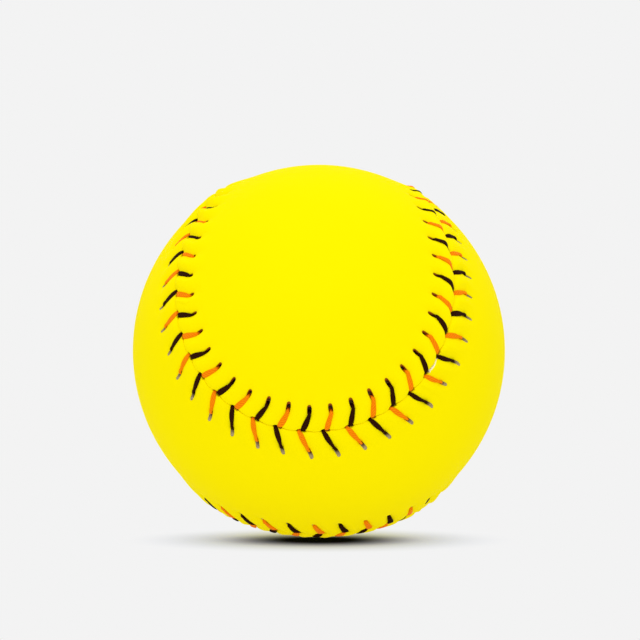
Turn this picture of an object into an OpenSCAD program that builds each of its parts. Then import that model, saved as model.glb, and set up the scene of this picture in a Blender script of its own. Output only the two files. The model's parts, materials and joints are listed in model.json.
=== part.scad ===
// Softball: a solid core, a film of cement, two figure-eight cover panels and the two threads that sew them.
// The origin is the middle of the ball, +Z is up, and the side with the U of stitches faces -Y.
// Each panel is cut full of stitch holes. A thread comes up through a hole, lies over that panel's edge,
// dives through the slit between the panels and runs under the other panel to that panel's next hole.

/* [Ball] */
// Diameter over the smooth cover, a 12 inch ball
ball_d = 97; // [87:1:130]
// Thickness of the cover
cover_t = 2.2; // [1.8:0.1:3]
// Gap between the back of the cover and the cement film
cover_gap = 0.35; // [0.3:0.05:0.5]
// Thickness of the cement film
cement_t = 0.15; // [0.1:0.05:0.3]

/* [Seam] */
// Share of the wave that pinches each panel's waist
waist_share = 0.475; // [0.43:0.005:0.5]
// Share of the wave that swings the seam up and down
swing_share = 1.135; // [1.05:0.005:1.2]
// Half of the slit between the panels, between two stitches
slit_half = 0.12; // [0.08:0.02:0.2]
// Angle by which the front lobe looks up
lobe_rise = 45; // [0:1:90]
// Angle by which the ball leans to its side
ball_lean = 0.8; // [-45:0.1:45]
// Angle by which the ball is turned about the upright axis
ball_turn = -2.6; // [-45:0.1:45]

/* [Raised edges] */
// Distance from the slit at which the raised edge has died out
ridge_w = 10; // [9:0.5:12]
// Distance from the slit at which a panel's edge folds down
fold_w = 1.8; // [1.4:0.1:2.4]
// Height of the pucker between two stitches
pucker_h = 0.8; // [0.4:0.05:1.2]
// Height of the valley under a stitch
valley_h = 0.35; // [0.1:0.05:0.5]
// Share of the height that is left at the slit
fold_share = 0.4; // [0.2:0.05:0.6]

/* [Stitches] */
// Number of stitches round the seam
stitches = 88; // [72:8:96]
// Distance from the slit to the near end of a hole
hole_reach = 4.9; // [4:0.1:5.5]
// Length of a hole in the front panel, across the seam
front_hole_l = 1.8; // [1.6:0.1:2.6]
// Length of a hole in the side panel, which the thread has pulled longer
side_hole_l = 2.7; // [1.6:0.1:2.8]
// Width of a hole, along the seam
hole_w = 1; // [0.8:0.05:1.3]
// Distance along the seam by which a hole lies ahead of its stitch
leg_lead = 2.2; // [1.6:0.1:2.6]
// Change of that lead where the seam bends
lead_swing = 0.45; // [0:0.05:0.6]
// Extra lead of the front panel's holes, which the side panel's holes lack
lead_extra = 0.2; // [0:0.05:0.4]

/* [Threads] */
// Thickness of a thread
thread_t = 0.42; // [0.3:0.02:0.5]
// Width of a thread in the middle of a stitch
thread_w = 1.15; // [0.9:0.05:1.3]
// Width of a thread where it dives into the slit
thread_dive_w = 0.85; // [0.6:0.05:0.95]
// Clearance between a thread and what it lies on
thread_clear = 0.05; // [0.04:0.01:0.08]
// Clearance on each side of a thread in its hole
hole_clear = 0.12; // [0.08:0.01:0.15]
// Clearance above and below a thread that runs under the cover
tunnel_clear = 0.16; // [0.14:0.01:0.3]
// Gap between the two threads in the slit
thread_gap = 0.1; // [0.06:0.02:0.2]

/* [Hidden] */

ball_r = ball_d / 2;
film_r = ball_r - cover_t - cover_gap;
core_r = film_r - cement_t;
tunnel_h = thread_t + 2 * tunnel_clear;
tunnel_lift = tunnel_h - cover_gap;
notch_half = thread_t + thread_clear;
dive_offset = (thread_dive_w + thread_gap) / 2;
notch_reach = dive_offset + thread_dive_w / 2 + thread_clear;
thread_hole_w = hole_w - 2 * hole_clear;

// The front panel is on side +1 of the seam and the side panel is on side -1.
FRONT = 1;
BACK = -1;

// Share of a stitch by which the first one lies past the start of the seam
stitch_phase_share = 0.63;

// Angle from a panel's middle to the end of its spine, and rows of facets from the raised edge to the spine
spine_end_angle = 104;
spine_rows = 4;

// Angles between a thread's flat width and the seam: up a hole, on a stitch, into the slit and under a panel
hole_angle = 30;
leg_angle = 20;
dive_angle = 8;
run_angle = 55;

// Steps of the table that gives the seam's parameter for a length along it
seam_steps = 720;

// Unit vector along p
function unit(p) = p / norm(p);

// Direction from the ball's middle to the seam, at parameter t in degrees
function seam_dir(t) = unit([
    cos(t) + waist_share * cos(3 * t),
    sin(t) - waist_share * sin(3 * t),
    swing_share * sin(2 * t)
]);

// Direction of travel along the seam, and the direction across it towards the front panel
function seam_ahead(t) = unit(seam_dir(t + 360 / seam_steps) - seam_dir(t - 360 / seam_steps));
function seam_across(t) = unit(cross(seam_dir(t), seam_ahead(t)));

// Length of the seam from parameter zero, in ball radii, for each step
seam_lengths = [
    for (i = 0, s = 0; i <= seam_steps;
        s = s + norm(seam_dir((i + 1) * 360 / seam_steps) - seam_dir(i * 360 / seam_steps)), i = i + 1) s
];
seam_l = ball_r * seam_lengths[seam_steps];
pitch = seam_l / stitches;
seam_table = [
    for (i = [0:seam_steps]) [seam_lengths[i] * stitches / seam_lengths[seam_steps], i * 360 / seam_steps]
];

// Parameter of the seam at u stitches from its start
function seam_at(u) = lookup(u - floor(u / stitches) * stitches, seam_table);

// Point at u stitches along the seam, v across it towards the front panel, at radius r
function place(u, v, r) =
    let (t = seam_at(u), a = v / ball_r * 180 / PI)
    r * (cos(a) * seam_dir(t) + sin(a) * seam_across(t));

// How far ahead of its stitch a hole lies, on one side of the seam at u stitches
function lead_at(u, side) = leg_lead + side * (lead_extra + lead_swing * cos(4 * seam_at(u)));

// Height of the raised edge, v from the slit, where crest is 0 under a stitch and 1 between stitches
function raised(v, crest) =
    let (rise = pow(cos(90 * min(v / ridge_w, 1)), 1.5))
    let (fold = 1 - (1 - fold_share) * (1 - min(v / fold_w, 1)))
    rise * fold * (valley_h + (pucker_h - valley_h) * crest);

// Point of the arc from direction a to direction b, at a share of its length
function arc_point(a, b, share) =
    let (w = acos(a * b))
    (sin((1 - share) * w) * a + sin(share * w) * b) / sin(w);

// Direction of the spine of a panel, opposite the seam at u stitches
function spine_dir(u, side) =
    let (a = -spine_end_angle * sin(side * seam_at(u) - 45))
    [sin(a) / sqrt(2), -side * sin(a) / sqrt(2), side * cos(a)];

// A panel has one rib for each stitch. Its ribs count from the end of one lobe, so that rib k
// and rib stitches - 1 - k meet at the same point of the spine.
function rib_stitch(k, side) = k - 1 - side * stitches / 8;

// Points of one rib on one face of a panel. The columns are the left and right side of the stitch
// and the crest that follows it. The rows are the slit, the fold, and the two ends of the hole.
function rib_column(u, side, rows, column) =
    let (ahead = lead_at(u, side) + [-hole_w, hole_w, pitch][column] / 2)
    let (start = [-notch_reach, notch_reach, pitch / 2][column])
    let (crest = column == 2 ? 1 : 0)
    [for (v = rows)
        let (go = min(v / hole_reach, 1))
        let (edge = v > 0 ? v : (column == 2 ? slit_half : notch_half))
        [u + (start + (ahead - start) * go) / pitch, edge, raised(edge, crest)]];

// Distances of a panel's rows from the slit, on its outer and its inner face
function hole_end(side) = hole_reach + (side == FRONT ? front_hole_l : side_hole_l);
function outer_rows(side) = [0, fold_w, hole_reach, hole_end(side)];
function inner_rows(side) = [0, hole_reach, hole_end(side)];

// Points of one rib on one face of a panel, from the slit to the spine. The raised height is used
// where lifted is true, and otherwise the face near the slit is lifted by the height of the tunnel.
function face_points(k, side, rows, r, lifted) =
    let (u = rib_stitch(k, side) + stitch_phase_share)
    let (last = place(u + (lead_at(u, side) + pitch / 2) / pitch, side * ridge_w, 1))
    let (spine = spine_dir(rib_stitch(k, side) + 1.5, side))
    concat(
        [for (column = [0:2]) for (p = rib_column(u, side, rows, column))
            place(p[0], side * p[1], r + (lifted ? p[2] : tunnel_lift))],
        [for (i = [0:spine_rows - 1]) r * arc_point(last, spine, i / spine_rows)]
    );

module panel(side) {
    outer_rows_n = len(outer_rows(side));
    inner_rows_n = len(inner_rows(side));
    outer_n = 3 * outer_rows_n + spine_rows;
    inner_n = 3 * inner_rows_n + spine_rows;
    seat_r = film_r + cover_gap;
    rib_n = outer_n + inner_n;
    spine_n = stitches / 2;
    points = concat(
        [for (k = [0:stitches - 1]) each concat(
            face_points(k, side, outer_rows(side), ball_r, true),
            face_points(k, side, inner_rows(side), seat_r, false))],
        [for (k = [0:spine_n - 1]) ball_r * spine_dir(rib_stitch(k, side) + 1.5, side)],
        [for (k = [0:spine_n - 1]) seat_r * spine_dir(rib_stitch(k, side) + 1.5, side)]
    );
    function next(k) = (k + 1) % stitches;
    function spot(k, start, rows_n, column, row) = k * rib_n + start + column * rows_n + row;
    function spine_spot(k, inner) = stitches * rib_n + inner * spine_n + min(k, stitches - 1 - k);
    // Two triangles that share the shorter diagonal of a four-sided cell
    function quad(a, b, c, d) = norm(points[a] - points[c]) <= norm(points[b] - points[d])
        ? [[a, b, c], [a, c, d]]
        : [[a, b, d], [b, c, d]];
    // One cell of a face, between the crest before stitch k and the crest after it
    function face(k, start, rows_n, inner) =
        let (hole_row = rows_n - 2)
        let (crest = function(row) spot(k, start, rows_n, 2, row))
        let (left = function(row) spot(next(k), start, rows_n, 0, row))
        let (right = function(row) spot(next(k), start, rows_n, 1, row))
        let (after = function(row) spot(next(k), start, rows_n, 2, row))
        let (to_spine = function(j, i) i == spine_rows ? spine_spot(j, inner) : spot(j, start, rows_n, 3, i))
        let (in_a = function(i) to_spine(k, i))
        let (in_b = function(i) to_spine(next(k), i))
        concat(
            [for (row = [0:hole_row]) each quad(crest(row), left(row), left(row + 1), crest(row + 1))],
            [for (row = [0:hole_row - 1]) each quad(left(row), right(row), right(row + 1), left(row + 1))],
            [for (row = [0:hole_row]) each quad(right(row), after(row), after(row + 1), right(row + 1))],
            [[crest(rows_n - 1), left(rows_n - 1), in_a(0)], [left(rows_n - 1), right(rows_n - 1), in_a(0)]],
            [[right(rows_n - 1), in_b(0), in_a(0)], [right(rows_n - 1), after(rows_n - 1), in_b(0)]],
            [for (i = [0:spine_rows - 1]) each quad(in_a(i), in_b(i), in_b(i + 1), in_a(i + 1))]
        );
    // Walls of the slit and of the hole, from the outer face down to the inner face
    function walls(k) =
        let (on = function(column, row) spot(next(k), 0, outer_rows_n, column, row))
        let (under = function(column, row) spot(next(k), outer_n, inner_rows_n, column, row))
        let (before_on = spot(k, 0, outer_rows_n, 2, 0))
        let (before_under = spot(k, outer_n, inner_rows_n, 2, 0))
        concat(
            quad(before_on, before_under, under(0, 0), on(0, 0)),
            quad(on(0, 0), under(0, 0), under(1, 0), on(1, 0)),
            quad(on(1, 0), under(1, 0), under(2, 0), on(2, 0)),
            quad(on(1, 2), under(1, 1), under(0, 1), on(0, 2)),
            quad(on(0, 3), under(0, 2), under(1, 2), on(1, 3)),
            quad(on(0, 2), under(0, 1), under(0, 2), on(0, 3)),
            quad(on(1, 3), under(1, 2), under(1, 1), on(1, 2))
        );
    outer_faces = [for (k = [0:stitches - 1]) each face(k, 0, outer_rows_n, 0)];
    inner_faces = [for (k = [0:stitches - 1]) each face(k, outer_n, inner_rows_n, 1)];
    wall_faces = [for (k = [0:stitches - 1]) each walls(k)];
    function real(f) = f[0] != f[1] && f[1] != f[2] && f[2] != f[0];
    function turned(f, over) = over ? [f[2], f[1], f[0]] : f;
    polyhedron(points, concat(
        [for (f = outer_faces) if (real(f)) turned(f, side > 0)],
        [for (f = inner_faces) if (real(f)) turned(f, side < 0)],
        [for (f = wall_faces) turned(f, side > 0)]
    ));
}

// Rings of a thread in one stitch: shift along the seam, distance from the slit on the side of the leg,
// height of its middle, angle and width of its section, and which way the section leans across and up
function stitch_rings(u, side) =
    let (lead = lead_at(u, side), next_lead = lead_at(u + 1, -side))
    let (start = side * dive_offset)
    let (rise = thread_clear + thread_t / 2)
    let (half_reach = (thread_hole_w * sin(hole_angle) + thread_t * cos(hole_angle)) / 2)
    let (in_hole = hole_reach + thread_clear + half_reach)
    let (go = fold_w / hole_reach)
    let (run_r = film_r + tunnel_h / 2)
    [
        [lead, in_hole, run_r, -hole_angle, thread_hole_w, -1, 1],
        [lead, in_hole, ball_r + raised(hole_reach, 0) + rise, -leg_angle, thread_hole_w, -1, -1],
        [start + (lead - start) * go, fold_w, ball_r + raised(fold_w, 0) + rise, -leg_angle, thread_w, 0, -1],
        [start, thread_t / 2, ball_r + raised(notch_half, 0) + rise, -dive_angle, thread_dive_w, 1, -1],
        [start, -thread_t / 2, run_r, dive_angle, thread_dive_w, 1, -1],
        [(start + pitch + next_lead) / 2, -hole_reach / 2, run_r, run_angle, thread_hole_w, 0, -1]
    ];

// Corners of one ring, at u stitches along the seam
function ring_corners(u, side, ring) =
    let (at = u + ring[0] / pitch, v = side * ring[1])
    let (t = seam_at(at), a = v / ball_r * 180 / PI)
    let (up = cos(a) * seam_dir(t) + sin(a) * seam_across(t))
    let (across = side * (cos(a) * seam_across(t) - sin(a) * seam_dir(t)))
    let (ahead = seam_ahead(t))
    let (wide = cos(ring[3]) * ahead + sin(ring[3]) * across)
    let (lean = cos(ring[3]) * across - sin(ring[3]) * ahead)
    let (half_w = wide * ring[4] / 2)
    let (half_t = side * (ring[5] * lean + ring[6] * up) * thread_t / 2)
    [for (c = [[1, 1], [-1, 1], [-1, -1], [1, -1]]) ring[2] * up + c[0] * half_w + c[1] * half_t];

// One closed thread whose leg at stitch zero lies on the given side
module thread(first_side) {
    rings = [
        for (k = [0:stitches - 1])
            let (side = first_side * (k % 2 == 0 ? 1 : -1), u = k + stitch_phase_share)
            for (ring = stitch_rings(u, side)) ring_corners(u, side, ring)
    ];
    corners = 4;
    n = len(rings);
    function spot(i, c) = (i % n) * corners + c % corners;
    polyhedron(
        [for (ring = rings) each ring],
        [for (i = [0:n - 1]) for (c = [0:corners - 1]) each [
            [spot(i, c), spot(i, c + 1), spot(i + 1, c + 1)],
            [spot(i, c), spot(i + 1, c + 1), spot(i + 1, c)]
        ]]
    );
}

// Turns the seam from its own frame into the ball's frame
module seated() {
    rotate([0, 0, ball_turn])
        rotate([0, ball_lean, 0])
            rotate([-lobe_rise, 0, 0])
                rotate([0, 0, -45])
                    children();
}

module core() {
    color("ivory")
        sphere(r = core_r, $fn = 96);
}

module cement_film() {
    color("tan")
        difference() {
            sphere(r = film_r, $fn = 96);
            sphere(r = core_r, $fn = 96);
        }
}

module front_panel() {
    color([0.98, 0.93, 0.02])
        seated()
            panel(FRONT);
}

module side_panel() {
    color([0.98, 0.93, 0.02])
        seated()
            panel(BACK);
}

module black_thread() {
    color([0.05, 0.04, 0.04])
        seated()
            thread(FRONT);
}

module orange_thread() {
    color([0.95, 0.4, 0.05])
        seated()
            thread(BACK);
}

core();
cement_film();
front_panel();
side_panel();
black_thread();
orange_thread();
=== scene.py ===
"""A softball in its finished looks: a stitched two-panel cover, two waxed threads and a plain studio.

Lengths are in millimetres and angles in degrees, and meshes are scaled to metres when they are made. The
seam is worked out in its own frame, where both panels are alike, and then turned to the ball's seat.
Positions along the seam are counted in stitches, and positions across it are distances from the slit. A
side of the seam is written as 1 for the front panel's and -1 for the side panel's.
"""

import json
import logging
import math
from dataclasses import dataclass, field
from enum import Enum
from typing import NamedTuple

import bpy
import numpy as np
from mathutils import Matrix, Vector


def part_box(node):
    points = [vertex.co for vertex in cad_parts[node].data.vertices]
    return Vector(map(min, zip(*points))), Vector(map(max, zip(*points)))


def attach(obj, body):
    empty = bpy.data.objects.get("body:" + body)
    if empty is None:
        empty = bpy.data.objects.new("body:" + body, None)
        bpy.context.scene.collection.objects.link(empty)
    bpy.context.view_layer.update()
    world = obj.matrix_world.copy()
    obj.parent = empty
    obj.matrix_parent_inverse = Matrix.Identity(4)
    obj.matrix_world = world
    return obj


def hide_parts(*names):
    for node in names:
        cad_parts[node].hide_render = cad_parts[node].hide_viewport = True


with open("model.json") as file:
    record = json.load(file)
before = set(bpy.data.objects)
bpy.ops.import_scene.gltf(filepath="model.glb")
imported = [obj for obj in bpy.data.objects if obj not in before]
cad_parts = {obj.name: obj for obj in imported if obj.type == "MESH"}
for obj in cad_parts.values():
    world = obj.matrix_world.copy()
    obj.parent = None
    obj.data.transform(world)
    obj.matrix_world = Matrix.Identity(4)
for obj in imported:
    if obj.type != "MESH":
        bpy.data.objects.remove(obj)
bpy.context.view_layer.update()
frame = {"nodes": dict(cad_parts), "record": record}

MM = 0.001
BODY = "root"
PHOTO_SIDE_PX = 640
FULL_TURN = 360
NEAR_ZERO = 1e-9

DISPLAY_FULL = 255
DISPLAY_DARK_END = 0.04045
DISPLAY_DARK_SLOPE = 12.92
DISPLAY_LIFT = 0.055
DISPLAY_SCALE = 1.055
DISPLAY_POWER = 2.4

log = logging.getLogger("softball")
Array = np.ndarray
Colour = tuple[float, float, float]
Span = tuple[float, float]
Socket = bpy.types.NodeSocket


class PanelSide(Enum):
    """The side of the seam that a panel lies on, as seen along the seam."""

    FRONT = 1
    SIDE = -1


class ThreadColour(Enum):
    """The two threads, by the side of the seam where their stitch number zero lies."""

    BLACK = 1
    ORANGE = -1


class Uneven(Enum):
    """What varies from stitch to stitch in hand sewing."""

    LEAD = 0
    HOLE_LENGTH = 1
    PUCKER = 2
    LEG_WIDTH = 3


class Blend(Enum):
    """What a mix node blends: its data type, its first value's socket and its result's socket."""

    COLOUR = ("RGBA", 6, 2)
    NUMBER = ("FLOAT", 2, 0)


def linear(red: int, green: int, blue: int) -> Colour:
    """Turns a display colour into the linear colour that a shader takes.

    Args:
        red: Red from 0 to 255.
        green: Green from 0 to 255.
        blue: Blue from 0 to 255.

    Returns:
        The same colour in linear shares of one.
    """
    shares = [value / DISPLAY_FULL for value in (red, green, blue)]
    return tuple(
        s / DISPLAY_DARK_SLOPE if s <= DISPLAY_DARK_END
        else ((s + DISPLAY_LIFT) / DISPLAY_SCALE) ** DISPLAY_POWER
        for s in shares
    )


def smooth_step(share: Array) -> Array:
    """Eases a share from 0 to 1 with level ends, and holds it outside."""
    held = np.clip(share, 0, 1)
    return held * held * (3 - 2 * held)


def turn(axis: str, degrees: float) -> Array:
    """Gives the 3 by 3 matrix of a turn about one axis."""
    return np.array(Matrix.Rotation(math.radians(degrees), 3, axis))


def units(vectors: Array) -> Array:
    """Scales each row to length one."""
    return vectors / np.linalg.norm(vectors, axis=-1, keepdims=True)


def in_metres(span: Span) -> Span:
    """Gives a span of millimetres in metres."""
    return tuple(end * MM for end in span)


@dataclass
class SeamCurve:
    """The closed wave that parts the two cover panels, and the ball's seat."""

    ball_r: float
    waist_share: float = 0.475
    swing_share: float = 1.135
    waist_at: float = 45
    bends: int = 4
    stitches: int = 88
    lobe_rise: float = 45
    lean: float = 0.8
    turned: float = -2.6
    steps: int = 14400
    seat: Array = field(init=False)
    lengths: Array = field(init=False)
    pitch: float = field(init=False)

    def __post_init__(self) -> None:
        """Works out the seat, the length along the seam and the pitch of the stitches."""
        self.seat = (
            turn("Z", self.turned) @ turn("Y", self.lean)
            @ turn("X", -self.lobe_rise) @ turn("Z", -self.waist_at)
        )
        points = self.out_at(np.linspace(0, FULL_TURN, self.steps + 1))
        strides = np.linalg.norm(np.diff(points, axis=0), axis=1)
        self.lengths = np.concatenate([[0], np.cumsum(strides)])
        self.pitch = self.ball_r * self.lengths[-1] / self.stitches

    def out_at(self, t: Array) -> Array:
        """Gives the directions from the ball's middle to the seam.

        Args:
            t: The seam's parameters, in degrees.

        Returns:
            One direction a row.
        """
        a = np.radians(t)
        return units(np.stack([
            np.cos(a) + self.waist_share * np.cos(3 * a),
            np.sin(a) - self.waist_share * np.sin(3 * a),
            self.swing_share * np.sin(2 * a),
        ], axis=-1))

    def parameter(self, u: Array) -> Array:
        """Gives the seam's parameter in degrees at u stitches along it."""
        table = self.lengths * self.stitches / self.lengths[-1]
        return np.interp(np.mod(u, self.stitches), table, np.linspace(0, FULL_TURN, self.steps + 1))

    def waist_stitch(self) -> float:
        """Gives the place of the front panel's waist along the seam, in stitches."""
        return self.stitches * self.waist_at / FULL_TURN

    def axes(self, u: Array) -> tuple[Array, Array, Array]:
        """Gives the directions out of the ball, along the seam and across it.

        Args:
            u: Places along the seam, in stitches.

        Returns:
            Three arrays of unit vectors: out, ahead, and across towards the front panel.
        """
        t = self.parameter(u)
        step = FULL_TURN / self.steps
        out = self.out_at(t)
        ahead = units(self.out_at(t + step) - self.out_at(t - step))
        return out, ahead, units(np.cross(out, ahead))

    def place(self, u: Array, v: Array, r: Array) -> Array:
        """Gives points in the seam's own frame.

        Args:
            u: Places along the seam, in stitches.
            v: Distances across it, positive towards the front panel.
            r: Distances from the ball's middle.

        Returns:
            One point a row.
        """
        out, _, across = self.axes(u)
        a = np.asarray(v)[..., None] / self.ball_r
        return np.asarray(r)[..., None] * (np.cos(a) * out + np.sin(a) * across)

    def seated(self, points: Array) -> Array:
        """Turns points from the seam's own frame to the ball's seat."""
        return points @ self.seat.T


@dataclass(frozen=True)
class BySide:
    """A value that differs between the two sides of the seam."""

    front: float
    side: float

    def at(self, side: int) -> float:
        """Gives the value on one side."""
        return self.front if side == PanelSide.FRONT.value else self.side


@dataclass(frozen=True)
class Patch:
    """A stretch of the seam where the hand sewing differs, on one panel or, with no side, on both."""

    side: PanelSide | None
    middle: float
    half: float

    def share(self, j: Array, side: int, stitches: int) -> Array:
        """Gives how much a place lies in the patch: 1 near its middle, easing to 0 at its ends.

        Args:
            j: The place, in stitches.
            side: The side of the seam.
            stitches: The stitches all the way round.

        Returns:
            The share at each place.
        """
        away = np.abs(np.mod(np.asarray(j, float) - self.middle + stitches / 2, stitches) - stitches / 2)
        held = self.side is None or side == self.side.value
        return (1 - smooth_step(away / self.half * 2 - 1)) * held


@dataclass
class StitchPlan:
    """Where each stitch comes up and dives, with the small unevenness of hand sewing."""

    seam: SeamCurve
    phase_share: float = 0.63
    reach: BySide = BySide(4.2, 4.9)
    slant: BySide = BySide(0, 2.5)
    drawn_in: Patch = Patch(PanelSide.SIDE, 91, 9)
    draw: float = 0.7
    lead: float = 2.2
    lead_swing: float = 0.45
    lead_extra: float = 0.2
    lead_turn: BySide = BySide(60, 0)
    lagging: Patch = Patch(PanelSide.SIDE, 70, 4)
    lag: float = 0.35
    root_offset: float = 0.4
    hole_half_w: BySide = BySide(0.6, 0.43)
    hole_w_swing: float = 0.16
    hole_l: BySide = BySide(2.65, 3.1)
    front_hole_swing: float = 0.42
    front_hole_turn: float = -218
    side_hole_swing: float = 0.15
    long_holes: int = 2
    long_hole_at: float = 84
    tight: Patch = Patch(None, 33, 7.5)
    closed: tuple[Patch, ...] = (Patch(PanelSide.FRONT, 63.8, 4), Patch(PanelSide.SIDE, 63.6, 3.4))
    tight_hole_share: float = 0.5
    lead_scatter: float = 0.09
    length_scatter_share: float = 0.07
    scatter_limit: float = 1.8
    seed: int = 88
    uneven: dict[int, Array] = field(init=False)

    def __post_init__(self) -> None:
        """Draws the unevenness of every stitch on both sides, once and from a fixed seed."""
        draw = np.random.default_rng(self.seed)
        shape = (len(Uneven), self.seam.stitches)
        limit = self.scatter_limit
        self.uneven = {side.value: draw.normal(size=shape).clip(-limit, limit) for side in PanelSide}

    def unevenness(self, kind: Uneven, j: Array, side: int) -> Array:
        """Gives how far one thing is off at stitch j, in typical scatters."""
        return self.uneven[side][kind.value][np.mod(j, self.seam.stitches)]

    def held(self, j: Array, side: int, *patches: Patch) -> Array:
        """Gives how much place j lies in the one of the patches that it lies in most."""
        return np.maximum.reduce([patch.share(j, side, self.seam.stitches) for patch in patches])

    def tightness(self, j: Array, side: int) -> Array:
        """Gives how far the stitches are pulled tight, which closes their holes, from 0 to 1."""
        return self.held(j, side, self.tight)

    def lobe_wave(self, j: Array, shift: float) -> Array:
        """Gives a wave from -1 to 1 that repeats on each bend of the seam, moved by that many degrees."""
        return np.cos(np.radians(self.seam.bends * self.seam.parameter(j + self.phase_share) + shift))

    def lead_of(self, j: Array, side: int) -> Array:
        """Gives how far ahead of its stitch a hole lies.

        Args:
            j: The stitch.
            side: The side of the seam.

        Returns:
            The distance along the seam.
        """
        swing = self.lobe_wave(j, self.lead_turn.at(side))
        even = self.lead + side * (self.lead_extra + self.lead_swing * swing)
        even = even - self.lag * self.held(j, side, self.lagging)
        return even + self.lead_scatter * self.unevenness(Uneven.LEAD, j, side)

    def reach_of(self, j: Array, side: int) -> Array:
        """Gives how far from the slit the hole of stitch j begins."""
        return self.reach.at(side) - self.draw * self.held(j, side, self.drawn_in)

    def lead_end(self, j: Array, side: int) -> Array:
        """Gives how far from the slit stitch j has its whole lead, on its leg or in its hole."""
        return self.reach_of(j, side) + self.slant.at(side) * (1 - self.held(j, side, self.drawn_in))

    def hole_length(self, j: Array, side: int) -> Array:
        """Gives the length of a hole across the seam.

        Args:
            j: Its stitch.
            side: The side of the seam.

        Returns:
            The length.
        """
        if side == PanelSide.FRONT.value:
            swing = self.front_hole_swing * self.lobe_wave(j, self.front_hole_turn)
        else:
            turns = 2 * np.pi * self.long_holes * (j - self.long_hole_at) / self.seam.stitches
            swing = self.side_hole_swing * np.cos(turns)
        length = self.hole_l.at(side) + swing + self.draw * self.held(j, side, self.drawn_in)
        shut = np.maximum(self.tightness(j, side), self.held(j, side, *self.closed))
        length = length * (1 - self.tight_hole_share * shut)
        return length * (1 + self.length_scatter_share * self.unevenness(Uneven.HOLE_LENGTH, j, side))

    def hole_widening(self, j: Array) -> Array:
        """Gives how much wider than plain a hole is, most of all in the middle of each bend of the seam."""
        return 1 - self.hole_w_swing * self.lobe_wave(j, 0)

    def root(self, side: int) -> float:
        """Gives how far along the seam a stitch dives beside its apex."""
        return side * self.root_offset


@dataclass
class CoverRelief:
    """The raised, puckered edge of a panel."""

    seam: SeamCurve
    plan: StitchPlan
    ridge_w: float = 10
    rise_power: float = 1.5
    fold_w: float = 1.8
    fold_share: float = 0.55
    roll_r: float = 0.25
    pucker_h: float = 0.88
    pucker_scatter_share: float = 0.1
    crest_power: float = 1.2
    valley_h: float = -0.12
    valley_half: float = 0.4
    valley_dip: float = 0.2
    tight_valley_h: float = 0.42
    dimple_h: float = 0.3
    dimple_r: float = 1.4
    dimple_at_share: float = 0.35
    dimple_slimness: float = 0.75
    proud: Patch = Patch(PanelSide.FRONT, 90, 7)
    proud_h: float = 0.85
    proud_v: float = 2
    proud_r: float = 1.5
    proud_crest_share: float = 0.6
    sunk: Patch = Patch(PanelSide.SIDE, 90, 7)
    sunk_h: float = 0.5
    puffed: Patch = Patch(PanelSide.FRONT, 64, 4)
    puffed_share: float = 0.7
    calm: Patch = Patch(None, 94, 8)
    calm_share: float = 0.55

    def height(self, side: int, j: Array, x: Array, v: Array) -> Array:
        """Gives the height of a panel's face over the smooth ball.

        Args:
            side: The panel's side of the seam.
            j: The nearest stitch of each point.
            x: Distance along the seam from that stitch's line, from its apex to its hole.
            v: Distance from the slit.

        Returns:
            The heights.
        """
        plan = self.plan
        rise = np.cos(np.pi / 2 * np.clip(v / self.ridge_w, 0, 1)) ** self.rise_power
        reach = plan.reach_of(j, side)
        off = np.abs(x - plan.root(side) * (1 - np.clip(v / reach, 0, 1)))
        span = self.seam.pitch / 2 - self.valley_half
        crest = np.sin(np.pi / 2 * np.clip((off - self.valley_half) / span, 0, 1)) ** self.crest_power
        bend = (1 - np.clip(v / self.fold_w, 0, 1)) ** 2
        fold = 1 - (1 - self.fold_share) * bend
        uneven = 1 + self.pucker_scatter_share * crest * plan.unevenness(Uneven.PUCKER, j, side)
        dimple_v = reach + plan.hole_length(j, side) * self.dimple_at_share
        from_hole = np.hypot(x, (v - dimple_v) * self.dimple_slimness)
        dimple = self.dimple_h * np.exp(-((from_hole / self.dimple_r) ** 2))
        valley_h = self.valley_h + self.tight_valley_h * plan.tightness(j, side)
        pucker_h = self.pucker_h * (1 - self.calm_share * plan.held(j, side, self.calm))
        raised = rise * fold * (valley_h + (pucker_h - valley_h) * crest) * uneven
        raised = raised * (1 + self.puffed_share * plan.held(j, side, self.puffed))
        bulge = self.proud_h * np.exp(-(((v - self.proud_v) / self.proud_r) ** 2))
        bulge = bulge * (1 - self.proud_crest_share * crest) * plan.held(j, side, self.proud)
        sunk = self.sunk_h * bend * plan.held(j, side, self.sunk)
        return raised + bulge - sunk - dimple - self.valley_dip * bend * (1 - crest)

    def leg_height(self, side: int, j: Array, v: Array) -> Array:
        """Gives the height of the face right under a stitch."""
        x = self.plan.root(side) * (1 - np.clip(v / self.plan.reach_of(j, side), 0, 1))
        return self.height(side, j, x, v)


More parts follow.
